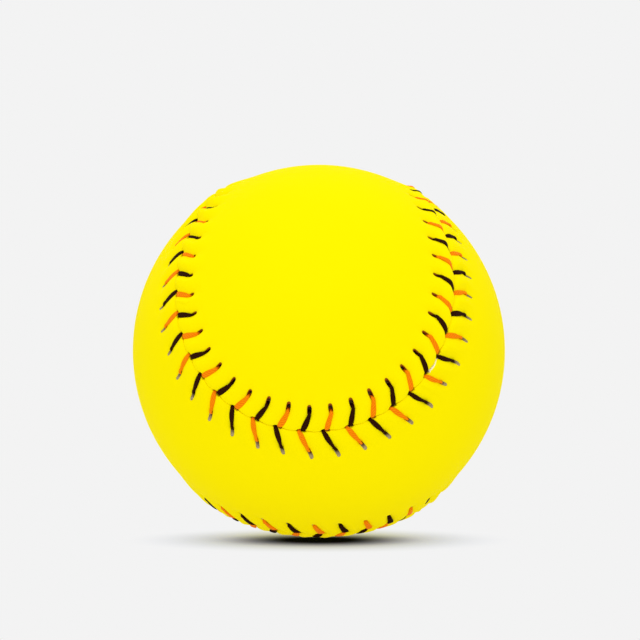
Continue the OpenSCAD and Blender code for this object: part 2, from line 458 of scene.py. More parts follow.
class MeshKit:
    """Collects points, their named values and faces of one piece, and makes its mesh."""

    def __init__(self, *marks: str) -> None:
        """Starts an empty piece.

        Args:
            marks: Names of the values that each point has, which the finishes read.
        """
        self.points: list[Array] = []
        self.count = 0
        self.marks: dict[str, list[Array]] = {mark: [] for mark in marks}
        self.faces: dict[int, list[tuple[Array, int]]] = {3: [], 4: []}

    def add_points(self, points: Array, **marks: Array | float) -> Array:
        """Adds points.

        Args:
            points: Their places, in millimetres.
            marks: Their named values, where one that isn't given is zero.

        Returns:
            The points' numbers, in the shape of the array.
        """
        shape = points.shape[:-1]
        numbers = np.arange(self.count, self.count + int(np.prod(shape))).reshape(shape)
        self.points.append(points.reshape(-1, 3))
        self.count += numbers.size
        for mark, values in self.marks.items():
            values.append(np.broadcast_to(marks.get(mark, 0.0), shape).ravel())
        return numbers

    def add_faces(self, corners: Array, slot: int, turned: bool) -> None:
        """Adds faces of three or four corners.

        Args:
            corners: Point numbers, one face a row.
            slot: The number of the faces' material.
            turned: Whether their order is reversed.
        """
        rows = corners.reshape(-1, corners.shape[-1])
        self.faces[rows.shape[1]].append((rows[:, ::-1] if turned else rows, slot))

    def add_band(self, first: Array, second: Array, slot: int, turned: bool,
                 kept: Array | slice = slice(None)) -> None:
        """Adds the band of quads between two closed rings, or between two sets of rings.

        Args:
            first: Point numbers of the first ring, or one ring a row.
            second: As many of the second.
            slot: The number of the faces' material.
            turned: Whether the corners' order is reversed.
            kept: Which quads of a ring are added.
        """
        ahead = (np.roll(first, -1, axis=-1), np.roll(second, -1, axis=-1))
        self.add_faces(np.stack([first, *ahead, second], axis=-1)[kept], slot, turned)

    def make(self, name: str, finishes: list[bpy.types.Material]) -> bpy.types.Object:
        """Makes the object.

        Args:
            name: The piece's name.
            finishes: Its materials, in the order of their slots.

        Returns:
            The new object, linked to the scene.
        """
        points = np.concatenate(self.points) * MM
        sized = [(rows, slot) for size in self.faces for rows, slot in self.faces[size]]
        corners = np.concatenate([rows.ravel() for rows, _ in sized])
        sizes = np.concatenate([np.full(len(rows), rows.shape[1]) for rows, _ in sized])
        slots = np.concatenate([np.full(len(rows), slot) for rows, slot in sized])
        used, renumbered = np.unique(corners, return_inverse=True)
        mesh = bpy.data.meshes.new(name)
        mesh.vertices.add(len(used))
        mesh.vertices.foreach_set("co", points[used].astype(np.float32).ravel())
        mesh.loops.add(len(corners))
        mesh.loops.foreach_set("vertex_index", renumbered.astype(np.int32).ravel())
        mesh.polygons.add(len(sizes))
        mesh.polygons.foreach_set("loop_start", (np.cumsum(sizes) - sizes).astype(np.int32))
        mesh.polygons.foreach_set("material_index", slots.astype(np.int32))
        for finish in finishes:
            mesh.materials.append(finish)
        for mark, values in self.marks.items():
            layer = mesh.attributes.new(mark, "FLOAT", "POINT")
            layer.data.foreach_set("value", np.concatenate(values)[used].astype(np.float32))
        mesh.update(calc_edges=True)
        mesh.validate()
        mesh.shade_smooth()
        piece = bpy.data.objects.new(name, mesh)
        bpy.context.scene.collection.objects.link(piece)
        log.info("%s: %d points, %d faces", name, len(mesh.vertices), len(mesh.polygons))
        return piece


@dataclass(frozen=True)
class Face:
    """One face of a panel near the seam: its points' numbers and places, by row and column."""

    hole_row: int
    numbers: Array
    j: Array
    x: Array
    v: Array
    u: Array
    r: Array
    parted: Array


@dataclass
class CoverPanel:
    """One figure-eight panel of the cover, with its folded edge, its stitch holes and its backing."""

    seam: SeamCurve
    plan: StitchPlan
    relief: CoverRelief
    side: PanelSide
    seat_r: float
    tunnel_lift: float = 0.39
    tunnel_fall: float = 1.5
    slit_half: float = 0.02
    slit_wall_shares: tuple[float, ...] = (0.35, 0.6)
    notch_half: float = 0.4
    notch_reach: float = 0.95
    notch_ease: float = 0.3
    parted: Patch = Patch(PanelSide.SIDE, 83.2, 0.56)
    parted_w: float = 0.1
    full_depth: float = 3.0
    roll_angles: tuple[float, ...] = (0, 22, 45, 68)
    fold_rows: int = 6
    slope_rows: int = 8
    foot_rows: int = 8
    under_rows: tuple[float, ...] = (0, 1.0, 2.4, 3.7)
    under_foot: float = 1.2
    hole_cells_across: int = 6
    hole_cells_along: int = 8
    puff_cells: int = 7
    ease_power: float = 1.3
    hole_round: float = 0.72
    hole_blend: float = 2.4
    hole_wall: tuple[tuple[float, float], ...] = (
        (0.1, 0.96), (0.3, 0.92), (0.65, 0.89), (1.05, 0.87), (1.5, 0.87),
    )
    pull: BySide = BySide(0.95, 1.25)
    pull_depth: float = 1.3
    pull_hole_l: float = 2.7
    lip_h: float = 0.13
    lip_spread_share: float = 0.35
    lip_blend: float = 3
    inner_rings: tuple[tuple[float, int], ...] = ((10.8, 2), (12, 4))
    spine_end: float = 104
    spine_rows: int = 18

    COVER_SLOT = 0
    BACKING_SLOT = 1

    def columns(self) -> Array:
        """Works out the columns of points in one stitch, from crest to crest.

        Returns:
            The columns' distances from the stitch's line.
        """
        half_pitch = self.seam.pitch / 2
        half_w = self.plan.hole_half_w.at(self.side.value)
        shares = (np.arange(1, self.puff_cells + 1) / self.puff_cells) ** self.ease_power
        puff = half_w + (half_pitch - half_w) * shares
        hole = np.linspace(-half_w, half_w, self.hole_cells_across + 1)
        return np.concatenate([-puff[::-1], hole, puff[:-1]])

    def wall_slot(self, step: int) -> int:
        """Gives the material of a wall's step, which is the cover's own only at the top."""
        return self.COVER_SLOT if step == 0 else self.BACKING_SLOT

    def grid(self, rows: Array, drops: Array, hole_row: int) -> tuple[Array, ...]:
        """Works out the columns and rows of one face near the seam.

        Args:
            rows: Distances from the edge. From hole_row on, they run along a hole of plain length.
            drops: How far each row lies below the face.
            hole_row: The first row of the holes.

        Returns:
            By row and column: the stitch of each point, its distance along the seam from the stitch's
            line, its distance from the slit, its drop, and how far the cut edge is parted there.
        """
        side = self.side.value
        plan = self.plan
        half_w = plan.hole_half_w.at(side)
        pitch = self.seam.pitch
        x0 = self.columns()
        j = np.repeat(np.arange(self.seam.stitches), len(x0))[None, :]
        x = np.tile(x0, self.seam.stitches)[None, :] + np.zeros((len(rows), 1))
        off = rows[:, None] + np.zeros_like(x)
        length = plan.hole_length(j, side)
        reach = plan.reach_of(j, side)
        start = rows[hole_row]
        plain = rows[hole_row + self.hole_cells_along] - start
        near = 1 - smooth_step((np.abs(x) - half_w) / (pitch / 2 - half_w))
        grow = np.clip((off - start) / plain, 0, 1) * (length - plain) * near
        fade = 1 - smooth_step((off - start - plain) / (rows[-1] - start - plain))
        fold_w = self.relief.fold_w
        drawn = (start - reach) * np.clip((off - fold_w) / (start - fold_w), 0, 1)
        v = off + (grow - drawn * near) * fade
        middle = reach + length / 2
        a = x / half_w
        b = (v - middle) / (length / 2)
        ring = np.maximum(np.maximum(np.abs(a), np.abs(b)), NEAR_ZERO)
        a = a / ring
        b = b / ring
        bend = self.hole_round * (1 - smooth_step((ring - 1) / (self.hole_blend - 1)))
        x = half_w * ring * (a + (a * np.sqrt(1 - b * b / 2) - a) * bend)
        v = middle + length / 2 * ring * (b + (b * np.sqrt(1 - a * a / 2) - b) * bend)
        x = x * (1 + (plan.hole_widening(j) - 1) * near)
        notched = smooth_step((self.notch_reach + self.notch_ease - np.abs(x)) / self.notch_ease)
        parted = plan.held(j + plan.phase_share + x / pitch, side, self.parted)
        edge = self.slit_half + (self.notch_half - self.slit_half) * notched + self.parted_w * parted
        v = v + edge * (1 - np.clip(off / fold_w, 0, 1))
        past_rim = np.maximum(ring - 1, 0)
        lip = self.lip_h * np.exp(-(past_rim / self.lip_spread_share)) * (ring < self.lip_blend)
        return j + np.zeros_like(x, dtype=int), x, v, drops[:, None] + lip, parted

    def along(self, j: Array, x: Array, v: Array) -> Array:
        """Gives the place of points along the seam.

        Args:
            j: The stitch of each point.
            x: Its distance along the seam from the stitch's line.
            v: Its distance from the slit.

        Returns:
            The places, in stitches.
        """
        side = self.side.value
        pitch = self.seam.pitch
        beside = j + np.where(x > 0, 1, -1)
        turned_over = smooth_step(np.abs(x) / pitch * 2) / 2
        lead, end = [
            here(j, side) + (here(beside, side) - here(j, side)) * turned_over
            for here in (self.plan.lead_of, self.plan.lead_end)
        ]
        return j + self.plan.phase_share + (lead * np.clip(v / end, 0, 1) + x) / pitch

    def spine(self, rib: Array, ribs_each: int) -> Array:
        """Gives the points of the panel's middle line that ribs from the seam run to.

        Args:
            rib: The ribs' numbers, counted from half a stitch before the waist.
            ribs_each: Ribs in one stitch.

        Returns:
            One direction from the ball's middle a row.
        """
        side = self.side.value
        u = rib / ribs_each - side * self.seam.waist_stitch() + 0.5
        swing = np.sin(np.radians(side * self.seam.parameter(u) - self.seam.waist_at))
        a = np.radians(-self.spine_end * swing)
        flat = np.sin(a) / math.sqrt(2)
        return np.stack([flat, -side * flat, side * np.cos(a)], axis=-1)

    def face_rows(self) -> tuple[Array, Array, int]:
        """Works out the rows of the outer face.

        Returns:
            Their distances from the edge, their drops and the number of the holes' first row.
        """
        relief = self.relief
        a = np.radians(self.roll_angles)
        length = self.plan.hole_length(np.arange(self.seam.stitches), self.side.value).mean()
        reach = self.plan.reach.at(self.side.value)
        fold = np.linspace(relief.roll_r, relief.fold_w, self.fold_rows)
        slope = np.linspace(relief.fold_w, reach, self.slope_rows)[1:-1]
        hole = np.linspace(reach, reach + length, self.hole_cells_along + 1)
        foot = np.linspace(hole[-1], relief.ridge_w, self.foot_rows)[1:]
        rows = np.concatenate([relief.roll_r * (1 - np.cos(a)), fold, slope, hole, foot])
        drops = np.concatenate([relief.roll_r * (1 - np.sin(a)), np.zeros(len(rows) - len(a))])
        return rows, drops, len(a) + len(fold) + len(slope)

    def add_face(self, kit: MeshKit, rows: Array, drops: Array, hole_row: int, slot: int) -> Face:
        """Adds one face near the seam, with its holes left open.

        Args:
            kit: The piece so far.
            rows: Distances of the face's rows from the edge.
            drops: How far each row lies below the face.
            hole_row: The first row of the holes.
            slot: Its material, which also tells the outer face from the inner one.

        Returns:
            The face's points.
        """
        side = self.side.value
        outer = slot == self.COVER_SLOT
        j, x, v, drop, parted = self.grid(rows, drops, hole_row)
        hole_end = hole_row + self.hole_cells_along
        if outer:
            r = self.seam.ball_r + self.relief.height(side, j, x, v) - drop
        else:
            r = self.seat_r + self.tunnel_lift * (1 - smooth_step((v - rows[hole_end]) / self.tunnel_fall))
        u = self.along(j, x, v)
        rolled = np.arange(len(rows))[:, None] < len(self.roll_angles)
        numbers = kit.add_points(
            self.seam.seated(self.seam.place(u, side * v, r)),
            depth=0.0 if outer else self.full_depth,
            cut_edge=parted * rolled * outer,
        )
        column = np.arange(numbers.shape[1]) % len(self.columns())
        solid = (column < self.puff_cells) | (column >= self.puff_cells + self.hole_cells_across)
        for i in range(len(rows) - 1):
            kept = solid if hole_row <= i < hole_end else slice(None)
            kit.add_band(numbers[i], numbers[i + 1], slot, (side < 0) == outer, kept)
        return Face(hole_row, numbers, j, x, v, u, r, parted)

    def add_slit_wall(self, kit: MeshKit, top: Face, under: Face) -> None:
        """Adds the wall of the slit, from the rolled edge down to the inner face.

        Args:
            kit: The piece so far.
            top: The outer face.
            under: The inner face.
        """
        side = self.side.value
        last = top.numbers[0]
        floor_r = self.seat_r + self.tunnel_lift
        for step, share in enumerate(self.slit_wall_shares):
            r = top.r[0] + (floor_r - top.r[0]) * share
            ring = kit.add_points(self.seam.seated(self.seam.place(top.u[0], side * top.v[0], r)),
                                  depth=share * self.full_depth, cut_edge=top.parted[0])
            kit.add_band(ring, last, self.wall_slot(step), side < 0)
            last = ring
        kit.add_band(under.numbers[0], last, self.BACKING_SLOT, side < 0)

    def hole_rims(self, hole_row: int) -> tuple[Array, Array]:
        """Gives the rims of the holes in a face.

        Args:
            hole_row: The first row of the holes.

        Returns:
            The rows and the columns of the rims' points, one hole a row, in one turning sense.
        """
        first = self.puff_cells
        last = first + self.hole_cells_across
        end = hole_row + self.hole_cells_along
        go = [(hole_row, c) for c in range(first, last)]
        go += [(r, last) for r in range(hole_row, end)]
        go += [(end, c) for c in range(last, first, -1)]
        go += [(r, first) for r in range(end, hole_row, -1)]
        rows, columns = np.array(go).T
        start = np.arange(self.seam.stitches)[:, None] * len(self.columns())
        return np.broadcast_to(rows, (self.seam.stitches, len(go))), start + columns

    def add_hole_walls(self, kit: MeshKit, top: Face, under: Face) -> None:
        """Adds the walls of the holes, whose far end slopes where the thread has pulled it.

        Args:
            kit: The piece so far.
            top: The outer face.
            under: The inner face.
        """
        side = self.side.value
        at = self.hole_rims(top.hole_row)
        last = top.numbers[at]
        j = top.j[at]
        length = self.plan.hole_length(j, side)
        go = np.clip((top.v[at] - self.plan.reach_of(j, side)) / length, 0, 1)
        for step, (depth, narrow) in enumerate(self.hole_wall):
            slope = self.pull.at(side) * smooth_step(np.array(depth / self.pull_depth)) * go ** 2
            v = top.v[at] - slope * (length / self.pull_hole_l)
            r = np.maximum(top.r[at] - depth, self.seat_r + self.tunnel_lift)
            place = self.seam.place(self.along(j, top.x[at] * narrow, v), side * v, r)
            ring = kit.add_points(self.seam.seated(place), depth=depth)
            kit.add_band(last, ring, self.wall_slot(step), side < 0)
            last = ring
        kit.add_band(last, under.numbers[self.hole_rims(under.hole_row)], self.BACKING_SLOT, side < 0)

    def inner_part(self, kit: MeshKit, rim: Array, r: float, slot: int) -> None:
        """Adds one face from the end of the raised edge to the spine.

        Args:
            kit: The piece so far.
            rim: Point numbers of the last row, all the way round.
            r: Radius of the face.
            slot: Its material, which also tells the outer face from the inner one.
        """
        side = self.side.value
        stitches = self.seam.stitches
        outer = slot == self.COVER_SLOT
        turned = (side < 0) == outer
        depth = 0.0 if outer else self.full_depth
        last = rim
        for v, thinned in self.inner_rings:
            x = self.columns()[::thinned]
            j = np.repeat(np.arange(stitches), len(x))
            distance = np.full(len(j), v)
            u = self.along(j, np.tile(x, stitches), distance)
            start = self.seam.place(u, side * distance, np.ones(len(j)))
            ring = kit.add_points(self.seam.seated(start * r), depth=depth)
            a0, a1, a2 = last[::2], last[1::2], np.roll(last[::2], -1)
            b0, b1 = ring, np.roll(ring, -1)
            for corners in ((a0, a1, b0), (a1, b1, b0), (a1, a2, b1)):
                kit.add_faces(np.stack(corners, axis=-1), slot, turned)
            last = ring
        n = len(last)
        each = n // stitches
        rib = np.arange(n) + int(side * self.seam.waist_stitch()) * each
        spine = self.spine(rib.astype(float), each)
        own = np.mod(rib, n)
        mirror = np.mod(n - each - rib, n)
        angle = np.arccos(np.clip((start * spine).sum(-1), -1, 1))[:, None]
        for i in range(1, self.spine_rows):
            share = i / self.spine_rows
            arc = np.sin((1 - share) * angle) * start + np.sin(share * angle) * spine
            row = kit.add_points(self.seam.seated(arc / np.sin(angle) * r), depth=depth)
            kit.add_band(last, row, slot, turned)
            last = row
        kept = own <= mirror
        number = np.zeros(n, int)
        number[own[kept]] = kit.add_points(self.seam.seated(spine[kept] * r), depth=depth)
        a, b = last, np.roll(last, -1)
        d = number[np.minimum(own, mirror)]
        c = np.roll(d, -1)
        whole = c != d
        kit.add_faces(np.stack([a, b, c, d], axis=-1)[whole], slot, turned)
        kit.add_faces(np.stack([a, b, d], axis=-1)[~whole], slot, turned)

    def build(self, finishes: list[bpy.types.Material]) -> bpy.types.Object:
        """Builds the panel as one closed shell.

        Args:
            finishes: The cover's face and its backing.

        Returns:
            The panel's object.
        """
        kit = MeshKit("depth", "cut_edge")
        rows, drops, hole_row = self.face_rows()
        hole_end = hole_row + self.hole_cells_along
        foot = [rows[hole_end] + self.under_foot, self.relief.ridge_w]
        below = np.concatenate([self.under_rows, rows[hole_row:hole_end + 1], foot])
        top = self.add_face(kit, rows, drops, hole_row, self.COVER_SLOT)
        under = self.add_face(kit, below, np.zeros(len(below)), len(self.under_rows), self.BACKING_SLOT)
        self.add_slit_wall(kit, top, under)
        self.add_hole_walls(kit, top, under)
        self.inner_part(kit, top.numbers[-1], self.seam.ball_r, self.COVER_SLOT)
        self.inner_part(kit, under.numbers[-1], self.seat_r, self.BACKING_SLOT)
        return kit.make(f"{self.side.name.lower()}_panel_cover", finishes)


class Station(NamedTuple):
    """One place that a thread passes, with the thread's size there and the angle of its flat width."""

    x: float
    v: float
    r: float
    width: float
    thick: float
    angle: float


@dataclass
class StitchThread:
    """One flat waxed thread, sewn all the way round the ball."""

    seam: SeamCurve
    plan: StitchPlan
    relief: CoverRelief
    colour: ThreadColour
    run_r: float
    thickness: float = 0.38
    leg_w: BySide = BySide(1.4, 1.28)
    root_w: float = 0.84
    hole_w: BySide = BySide(0.78, 0.56)
    hole_t: float = 0.52
    run_w: float = 0.76
    tight_hole_w: float = 1.0
    tight_widening_share: float = 0.25
    tight_thickening_share: float = 0.6
    tucked: tuple[Patch, ...] = (
        Patch(PanelSide.FRONT, 62.8, 3.2), Patch(PanelSide.FRONT, 91.8, 3),
        Patch(PanelSide.SIDE, 26.3, 2), Patch(PanelSide.SIDE, 40.4, 2),
    )
    tucked_share: float = 0.42
    tucked_sink: float = 0.12
    buried: tuple[Patch, ...] = (
        Patch(PanelSide.FRONT, 61.8, 2.4), Patch(PanelSide.SIDE, 26.3, 2), Patch(PanelSide.SIDE, 40.4, 2),
    )
    buried_sink: float = 0.18
    bedded: tuple[Patch, ...] = (
        Patch(PanelSide.FRONT, 90.5, 4.5), Patch(PanelSide.SIDE, 91, 4), Patch(PanelSide.SIDE, 33, 8),
    )
    bed_sink: float = 0.55
    bed_v: float = 1.7
    sink_share: float = 0.1
    bow: float = 0.12
    width_scatter_share: float = 0.06
    mouth: BySide = BySide(0.38, 0.95)
    mouth_share: float = 0.3
    mouth_depth: float = 0.5
    hole_depth: float = 1.2
    hole_out: float = 0.08
    run_out: float = 0.15
    lip_step: float = 0.4
    lip_sink: float = 0.02
    lip_w_share: float = 1.1
    shoulder_share: float = 0.86
    shoulder_hole_share: float = 0.6
    shoulder_leg_share: float = 0.4
    shoulder_t: float = 0.44
    leg_shape: tuple[tuple[float, float, float], ...] = (
        (0.69, 0.88, 1), (0.52, 1, 1), (0.33, 1.02, 0.9), (0.17, 0.9, 0.7),
    )
    leg_angle: float = 21
    dive_v: float = 0.26
    dive_face_v: float = 0.4
    dive_sink: float = 0.12
    dive_w_share: float = 1.04
    dive_turn_share: float = 0.4
    slit_v: float = 0.1
    slit_depth: float = 0.8
    slit_w_share: float = 0.9
    under_v: float = -0.2
    under_lift: float = 0.25
    under_angle: float = 10
    run_angle: float = 55
    corners: int = 16
    squareness: float = 3.2
    cuts: int = 5

    def stations(self, j: int, side: int) -> list[Station]:
        """Gives the places that the thread passes in one stitch.

        Args:
            j: The stitch.
            side: The side of the seam that its leg lies on.

        Returns:
            The places, from its hole over its leg and the slit to the run under the other panel, with
            distances across the seam counted towards the leg's side.
        """
        leg = StitchLeg(self, j, side)
        after = StitchLeg(self, j + 1, -side)
        ball_r = self.seam.ball_r
        hole_w = self.hole_w.at(side)
        hole_w += (self.tight_hole_w - hole_w) * leg.tight
        longer = float(self.plan.hole_length(np.array(j), side)) - self.plan.hole_l.at(side)
        mouth = leg.reach + self.mouth.at(side) + self.mouth_share * longer
        mouth_x = leg.line(mouth)
        lip_v = mouth - self.lip_step
        lip_r = leg.on_face(leg.reach) - self.lip_sink
        shoulder_w = hole_w * self.shoulder_hole_share + leg.width * self.shoulder_leg_share
        angle = -self.leg_angle
        run_x = (leg.root + self.seam.pitch + after.lead * after.reach / after.lead_end) / 2
        return [
            Station(mouth_x, mouth + self.run_out, self.run_r, self.run_w, self.thickness, angle),
            Station(mouth_x, mouth + self.hole_out, ball_r - self.hole_depth, hole_w, self.hole_t, angle),
            Station(mouth_x, mouth, ball_r - self.mouth_depth, hole_w, self.hole_t, angle),
            Station(leg.line(lip_v), lip_v, lip_r, hole_w * self.lip_w_share, self.hole_t, angle),
            leg.station(self.shoulder_share, shoulder_w, self.shoulder_t, angle),
            *[
                leg.station(share, leg.width * wide, leg.thick, angle * turned)
                for share, wide, turned in self.leg_shape
            ],
            Station(leg.root, self.dive_v, leg.on_face(self.dive_face_v) - self.dive_sink,
                    leg.root_w * self.dive_w_share, leg.thick, angle * self.dive_turn_share),
            Station(leg.root, self.slit_v, ball_r - self.slit_depth,
                    leg.root_w * self.slit_w_share, self.thickness, 0),
            Station(leg.root, self.under_v, self.run_r + self.under_lift,
                    self.run_w, self.thickness, self.under_angle),
            Station(run_x, -after.reach / 2, self.run_r, self.run_w, self.thickness, self.run_angle),
        ]

    def build(self, finish: bpy.types.Material) -> bpy.types.Object:
        """Builds the thread as one closed tube with a flat section.

        Args:
            finish: The thread's material.

        Returns:
            The thread's object.
        """
        rows, sides, starts = [], [], []
        for j in range(self.seam.stitches):
            side = self.colour.value * (1 if j % 2 == 0 else -1)
            here = self.stations(j, side)
            rows += here
            sides += [side] * len(here)
            starts += [j + self.plan.phase_share] * len(here)
        x, v, r, width, thick, angle = np.array(rows).T
        side = np.array(sides)
        u = np.array(starts) + x / self.seam.pitch
        _, ahead, across = self.seam.axes(u)
        angle = np.radians(angle)[:, None]
        wide = np.cos(angle) * ahead + np.sin(angle) * across * side[:, None]
        fine = self.spline(np.column_stack([self.seam.place(u, side * v, r), wide, width, thick]))
        points, wide, sizes = fine[:, :3], fine[:, 3:6], fine[:, 6:]
        tangent = units(np.roll(points, -1, axis=0) - np.roll(points, 1, axis=0))
        flat = units(np.cross(tangent, wide))
        wide = units(np.cross(flat, tangent))
        a = np.linspace(0, 2 * np.pi, self.corners, endpoint=False)
        c, s = [np.sign(wave) * np.abs(wave) ** (2 / self.squareness) for wave in (np.cos(a), np.sin(a))]
        section = (wide[:, None] * (c[None, :] * sizes[:, :1])[..., None]
                   + flat[:, None] * (s[None, :] * sizes[:, 1:])[..., None]) / 2
        run = np.concatenate([[0], np.cumsum(np.linalg.norm(np.diff(points, axis=0), axis=1))])
        around = np.abs(np.linspace(-1, 1, self.corners, endpoint=False))
        kit = MeshKit("along_mm", "around")
        places = self.seam.seated(points[:, None] + section)
        numbers = kit.add_points(places, along_mm=run[:, None], around=around)
        kit.add_band(numbers, np.roll(numbers, -1, axis=0), 0, False)
        return kit.make(f"{self.colour.name.lower()}_stitching", [finish])

    def spline(self, knots: Array) -> Array:
        """Runs a smooth closed curve through the knots, whose spacing may vary.

        Args:
            knots: One knot a row, the first three values being its place.

        Returns:
            The curve's values, with the same number of cuts between every two knots.
        """
        after = np.roll(knots, -1, axis=0)
        gap = np.linalg.norm(after[:, :3] - knots[:, :3], axis=1)[:, None]
        gap_before = np.roll(gap, 1, axis=0)
        step = after - knots
        step_before = np.roll(step, 1, axis=0)
        slope = (step / gap * gap_before + step_before / gap_before * gap) / (gap + gap_before)
        slope_after = np.roll(slope, -1, axis=0)
        parts = []
        for i in range(self.cuts):
            t = i / self.cuts
            parts.append(
                (2 * t**3 - 3 * t**2 + 1) * knots + (t**3 - 2 * t**2 + t) * gap * slope
                + (3 * t**2 - 2 * t**3) * after + (t**3 - t**2) * gap * slope_after
            )
        return np.stack(parts, axis=1).reshape(-1, knots.shape[1])


class StitchLeg:
    """One stitch's leg, which lies on the cover from its hole to the slit."""

    def __init__(self, thread: StitchThread, j: int, side: int) -> None:
        """Works out the leg's own values.

        Args:
            thread: The thread that the leg is part of.
            j: The stitch.
            side: The side of the seam that the leg lies on.
        """
        plan = thread.plan
        self.thread = thread
        self.at = np.array(j)
        self.side = side
        self.root = plan.root(side)
        self.lead, self.reach, self.lead_end, self.tight = [
            float(value(self.at, side))
            for value in (plan.lead_of, plan.reach_of, plan.lead_end, plan.tightness)
        ]
        tucked, buried, self.bedded = [
            float(plan.held(self.at, side, *patches))
            for patches in (thread.tucked, thread.buried, thread.bedded)
        ]
        scatter = plan.unevenness(Uneven.LEG_WIDTH, j, side)
        self.bow = thread.bow * scatter
        wider = (1 + thread.tight_widening_share * self.tight) * (1 - thread.tucked_share * tucked)
        self.width = thread.leg_w.at(side) * (1 + thread.width_scatter_share * scatter) * wider
        self.root_w = thread.root_w * wider
        self.thick = thread.thickness * (1 + thread.tight_thickening_share * self.tight)
        laid = self.thick * (0.5 - thread.sink_share)
        self.rise = laid - thread.tucked_sink * tucked - thread.buried_sink * buried

    def on_face(self, v: float) -> float:
        """Gives how far from the ball's middle the thread's middle lies on the cover.

        Args:
            v: Distance from the slit.

        Returns:
            The radius.
        """
        thread = self.thread
        bed = thread.bed_sink * self.bedded * max(1 - v / thread.bed_v, 0)
        face_h = float(thread.relief.leg_height(self.side, self.at, np.array(v)))
        return thread.seam.ball_r + face_h + self.rise - bed

    def line(self, v: float) -> float:
        """Gives where the leg's line runs.

        Args:
            v: Distance from the slit.

        Returns:
            The distance along the seam.
        """
        share = min(v / self.reach, 1)
        led = self.lead * min(v / self.lead_end, 1)
        return self.root * (1 - share) + led + self.bow * math.sin(math.pi * share)

    def station(self, share: float, width: float, thick: float, angle: float) -> Station:
        """Gives the place at a share of the leg's length, with the thread's size and angle there."""
        v = self.reach * share
        return Station(self.line(v), v, self.on_face(v), width, thick, angle)


@dataclass(frozen=True)
class Speckle:
    """A noise, by its scale to the metre and its detail."""

    scale: float
    detail: float = 2


class NodeSheet:
    """A new material with its Principled shader, and short calls that add nodes to it."""

    def __init__(self, name: str) -> None:
        """Starts a material.

        Args:
            name: Its name.
        """
        self.material = bpy.data.materials.new(name)
        self.material.use_nodes = True
        self.tree = self.material.node_tree
        self.tree.nodes.clear()
        self.shader = self.add("ShaderNodeBsdfPrincipled")
        self.output = self.add("ShaderNodeOutputMaterial")
        self.link(self.shader.outputs[0], self.output.inputs["Surface"])

    def add(self, kind: str, **settings: object) -> bpy.types.Node:
        """Adds a node.

        Args:
            kind: The node's type.
            settings: Its settings and the values of its sockets, by name.

        Returns:
            The node.
        """
        node = self.tree.nodes.new(kind)
        for key, value in settings.items():
            if hasattr(node, key):
                setattr(node, key, value)
            else:
                node.inputs[key.replace("_", " ")].default_value = value
        return node

    def link(self, start: Socket, end: Socket) -> None:
        """Links two sockets."""
        self.tree.links.new(start, end)

    def fill(self, end: Socket, value: Socket | Colour | float) -> None:
        """Fills a socket.

        Args:
            end: The socket.
            value: Another socket, a colour or a number.
        """
        if isinstance(value, Socket):
            self.link(value, end)
        else:
            end.default_value = (*value, 1) if isinstance(value, tuple) else value

    def place(self) -> Socket:
        """Gives the place on the object, in metres."""
        return self.add("ShaderNodeTexCoord").outputs["Object"]

    def texture(self, kind: str, **settings: object) -> bpy.types.Node:
        """Adds a texture node that is laid out on the object.

        Args:
            kind: The node's type.
            settings: Its settings and the values of its sockets, by name.

        Returns:
            The node.
        """
        node = self.add(kind, **settings)
        self.link(self.place(), node.inputs["Vector"])
        return node

    def noise(self, speckle: Speckle) -> Socket:
        """Adds a noise and gives its value."""
        return self.texture("ShaderNodeTexNoise", Scale=speckle.scale, Detail=speckle.detail).outputs["Fac"]

    def mark(self, name: str) -> Socket:
        """Gives one of the piece's own named values."""
        return self.add("ShaderNodeAttribute", attribute_name=name).outputs["Fac"]

    def math(self, kind: str, *values: Socket | float) -> Socket:
        """Adds a sum.

        Args:
            kind: What it does.
            values: Numbers or sockets.

        Returns:
            The result.
        """
        node = self.add("ShaderNodeMath", operation=kind)
        for end, value in zip(node.inputs, values):
            self.fill(end, value)
        return node.outputs[0]

    def spread(self, value: Socket, span: Span, onto: Span = (0, 1)) -> Socket:
        """Maps a value from one span to another and holds it there.

        Args:
            value: The value.
            span: The span that it is read over.
            onto: What the span's two ends become.

        Returns:
            The mapped value.
        """
        node = self.add("ShaderNodeMapRange", interpolation_type="SMOOTHSTEP")
        for end, filling in zip(node.inputs, (value, *span, *onto)):
            self.fill(end, filling)
        return node.outputs[0]

    def blend(self, share: Socket, first: Socket | Colour | float, second: Socket | Colour | float,
              kind: Blend = Blend.COLOUR) -> Socket:
        """Blends two colours or two numbers.

        Args:
            share: The second one's share.
            first: A colour, a number or a socket.
            second: The same.
            kind: Whether they are colours or numbers.

        Returns:
            The blend.
        """
        data_type, start, result = kind.value
        node = self.add("ShaderNodeMix", data_type=data_type)
        self.link(share, node.inputs["Factor"])
        for end, value in zip(node.inputs[start:], (first, second)):
            self.fill(end, value)
        return node.outputs[result]

    def relief(self, height: Socket, depth_mm: float) -> None:
        """Sets the shader's fine relief.

        Args:
            height: The height as a share.
            depth_mm: Its full depth.
        """
        bump = self.add("ShaderNodeBump", Strength=1.0, Distance=depth_mm * MM)
        self.link(height, bump.inputs["Height"])
        self.link(bump.outputs[0], self.shader.inputs["Normal"])

    def finish(self, colour: Socket, roughness: Socket | float, shine: float) -> bpy.types.Material:
        """Sets the shader's main values.

        Args:
            colour: The base colour.
            roughness: The roughness.
            shine: The specular level.

        Returns:
            The finished material.
        """
        values = {"Base Color": colour, "Roughness": roughness, "Specular IOR Level": shine}
        for name, value in values.items():
            self.fill(self.shader.inputs[name], value)
        return self.material


